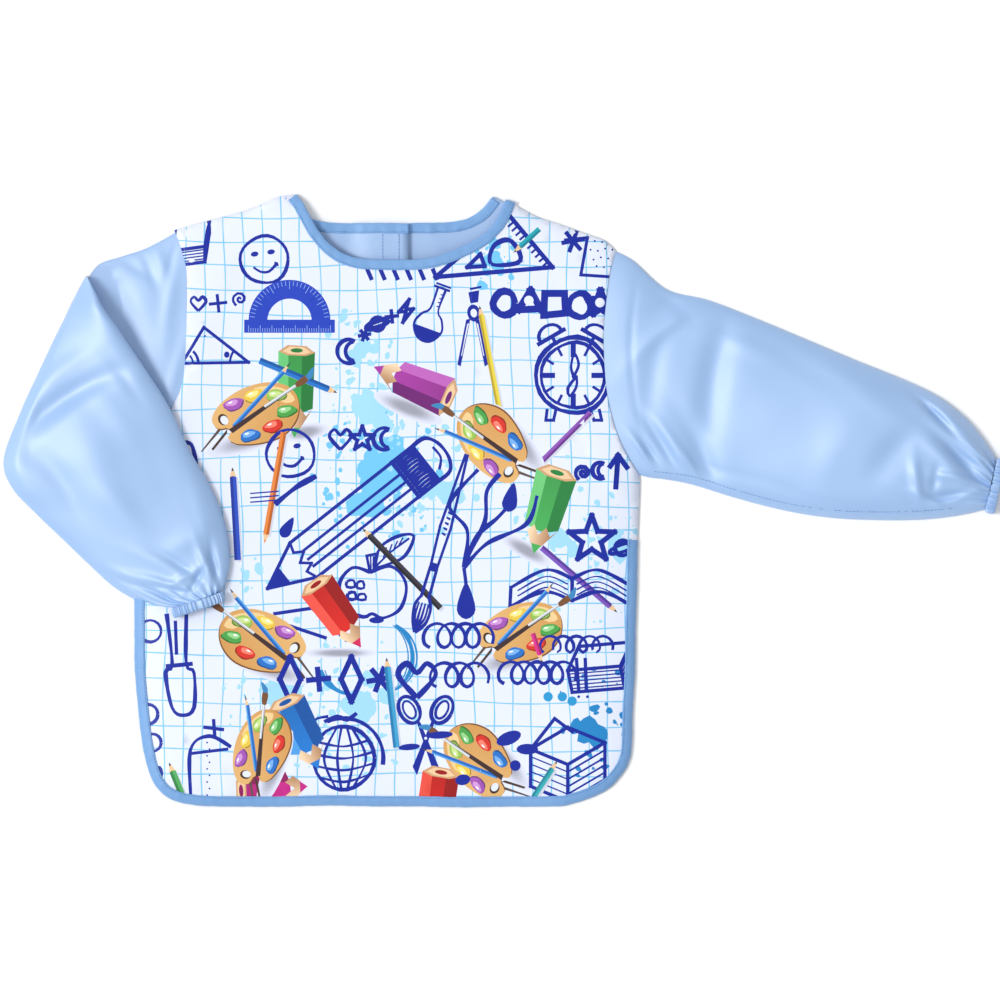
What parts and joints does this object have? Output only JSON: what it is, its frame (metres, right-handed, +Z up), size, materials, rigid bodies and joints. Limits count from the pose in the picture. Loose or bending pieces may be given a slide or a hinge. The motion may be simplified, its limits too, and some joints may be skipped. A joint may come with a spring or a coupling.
{
  "type": "artist smock apron",
  "caption": "Child's long-sleeved art smock laid flat, with bound edges, elastic cuffs, one sleeve folded over the front and a back that opens with hook-and-loop tape.",
  "frame": {"origin": "middle of the underside of the whole smock as it lies, sleeves included", "axes": "+Z up out of the printed front, +Y towards the neck, +X towards the outstretched sleeve"},
  "size_m": [0.9212, 0.5612, 0.0439],
  "materials": {
    "printed_front": "white satin-weave polyester printed with blue line drawings",
    "sleeve_satin": "light blue satin-weave polyester",
    "back_satin": "light blue satin-weave polyester, inner face",
    "binding_tape": "folded light blue bias tape",
    "hook_and_loop": "woven hook-and-loop tape",
    "cuff_elastic": "white braided elastic"
  },
  "bodies": {
    "garment_body": {"front_panel": "printed_front", "front_hem_binding": "binding_tape", "front_neck_binding": "binding_tape", "back_side_right": "back_satin", "back_side_left": "back_satin", "back_side_binding_right": "binding_tape", "back_side_binding_left": "binding_tape"},
    "back_flap_outer": {"back_flap_right": "back_satin", "flap_neck_binding_right": "binding_tape", "flap_hem_binding_right": "binding_tape", "loop_tape": "hook_and_loop"},
    "back_flap_inner": {"back_flap_left": "back_satin", "flap_neck_binding_left": "binding_tape", "flap_hem_binding_left": "binding_tape", "hook_tape": "hook_and_loop"},
    "sleeve_outstretched": {"right_sleeve": "sleeve_satin", "right_cuff_casing": "sleeve_satin", "right_cuff_elastic": "cuff_elastic"},
    "sleeve_folded": {"left_sleeve_upper": "sleeve_satin", "left_sleeve_lower": "sleeve_satin", "left_cuff_casing": "sleeve_satin", "left_cuff_elastic": "cuff_elastic"}
  },
  "joints": [
    {"name": "back_outer_open", "type": "hinge", "parent": "garment_body", "child": "back_flap_outer", "pos_m": [0.0634, -0.26344, 0], "axis": [0.0983, -0.9952, 0], "range_deg": [0, 100]},
    {"name": "back_inner_open", "type": "hinge", "parent": "garment_body", "child": "back_flap_inner", "pos_m": [-0.2666, -0.26344, 0], "axis": [0.0983, 0.9952, 0], "range_deg": [0, 50]},
    {"name": "outstretched_sleeve_fold", "type": "hinge", "parent": "garment_body", "child": "sleeve_outstretched", "pos_m": [0.126, 0.01956, 0.022], "axis": [0.0955, -0.9954, 0], "range_deg": [0, 150]},
    {"name": "folded_sleeve_swing", "type": "hinge", "parent": "garment_body", "child": "sleeve_folded", "pos_m": [-0.3082, 0.23856, 0.008], "axis": [0, 0, -1], "range_deg": [0, 40]}
  ],
  "couplings": [
    {"joint": "back_inner_open", "follows": "back_outer_open", "ratio": 0.5}
  ]
}
